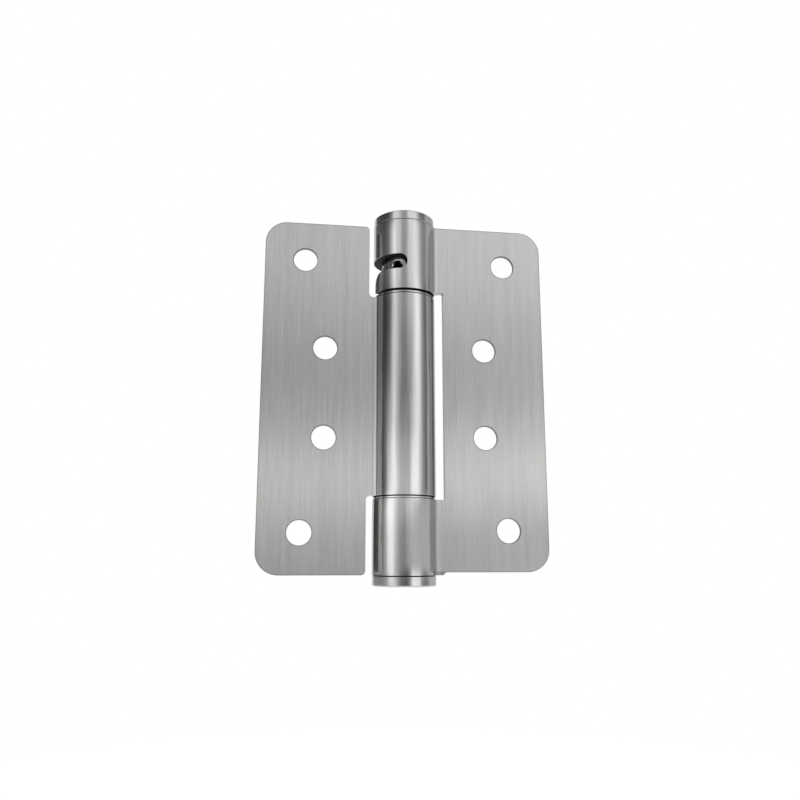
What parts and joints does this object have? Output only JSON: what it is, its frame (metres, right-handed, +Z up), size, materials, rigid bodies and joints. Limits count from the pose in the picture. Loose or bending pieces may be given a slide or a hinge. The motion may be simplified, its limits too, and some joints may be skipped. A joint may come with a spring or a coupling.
{
  "type": "spring loaded door hinge",
  "caption": "Self-closing butt hinge of brushed stainless steel, with a torsion spring in the barrel, a tension collar behind a slot and turned end caps.",
  "frame": {"origin": "on the barrel axis, half-way between the outer faces of the two end caps", "axes": "+Z up the barrel axis to the cap with the key hole, -Y out of the leaves' outer faces that lie against door and frame, +X from the barrel to the frame leaf with the hinge opened flat"},
  "size_m": [0.0824, 0.0182, 0.1084],
  "materials": {
    "brushed_leaf": "satin",
    "turned_steel": "satin",
    "spring_steel": "satin",
    "nylon": "matte"
  },
  "bodies": {
    "frame_side": {"frame_leaf": "brushed_leaf", "top_cap": "turned_steel", "bottom_cap": "turned_steel", "pivot_pin": "turned_steel", "bottom_plug": "turned_steel", "plug_pin": "turned_steel"},
    "door_side": {"door_leaf": "brushed_leaf", "spring_anchor": "turned_steel", "anchor_pin": "turned_steel", "upper_bush": "nylon", "pivot_bush": "nylon", "upper_washer": "turned_steel", "lower_washer": "turned_steel", "torsion_spring": "spring_steel"},
    "adjuster": {"tension_spindle": "turned_steel"}
  },
  "joints": [
    {"name": "leaf_swing", "type": "hinge", "parent": "frame_side", "child": "door_side", "pos_m": [0, 0, 0], "axis": [0, 0, 1], "range_deg": [-180, 0]},
    {"name": "tension_turn", "type": "hinge", "parent": "door_side", "child": "adjuster", "pos_m": [0, 0, 0], "axis": [0, 0, 1], "range_deg": [-300, 0], "stiffness_Nm_per_rad": 0.45, "deforming": ["torsion_spring"]}
  ]
}
